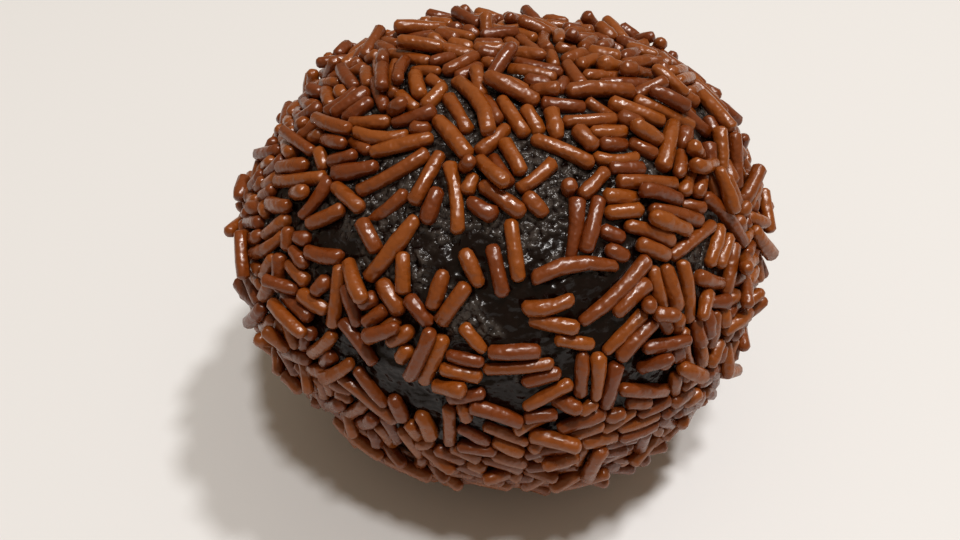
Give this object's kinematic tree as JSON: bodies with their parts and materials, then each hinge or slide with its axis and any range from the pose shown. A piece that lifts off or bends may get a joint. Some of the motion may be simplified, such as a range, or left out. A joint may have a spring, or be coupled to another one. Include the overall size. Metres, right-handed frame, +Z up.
{
  "type": "rum ball",
  "caption": "Round, slightly flattened ball of dark chocolate cake mass rolled in chocolate sprinkles, resting on a small flat spot.",
  "frame": {"origin": "middle of the flat spot that the ball rests on", "axes": "+Z up through the ball, -Y towards the side that the picture is taken from, +X to that side's right"},
  "size_m": [0.0586, 0.0587, 0.0479],
  "materials": {
    "sprinkles": "satin milk-chocolate sprinkles with small soft highlights",
    "mass": "near-black moist cake mass, glossy on a fine crumb"
  },
  "bodies": {
    "root": {"rum_ball": "sprinkles"}
  },
  "joints": []
}
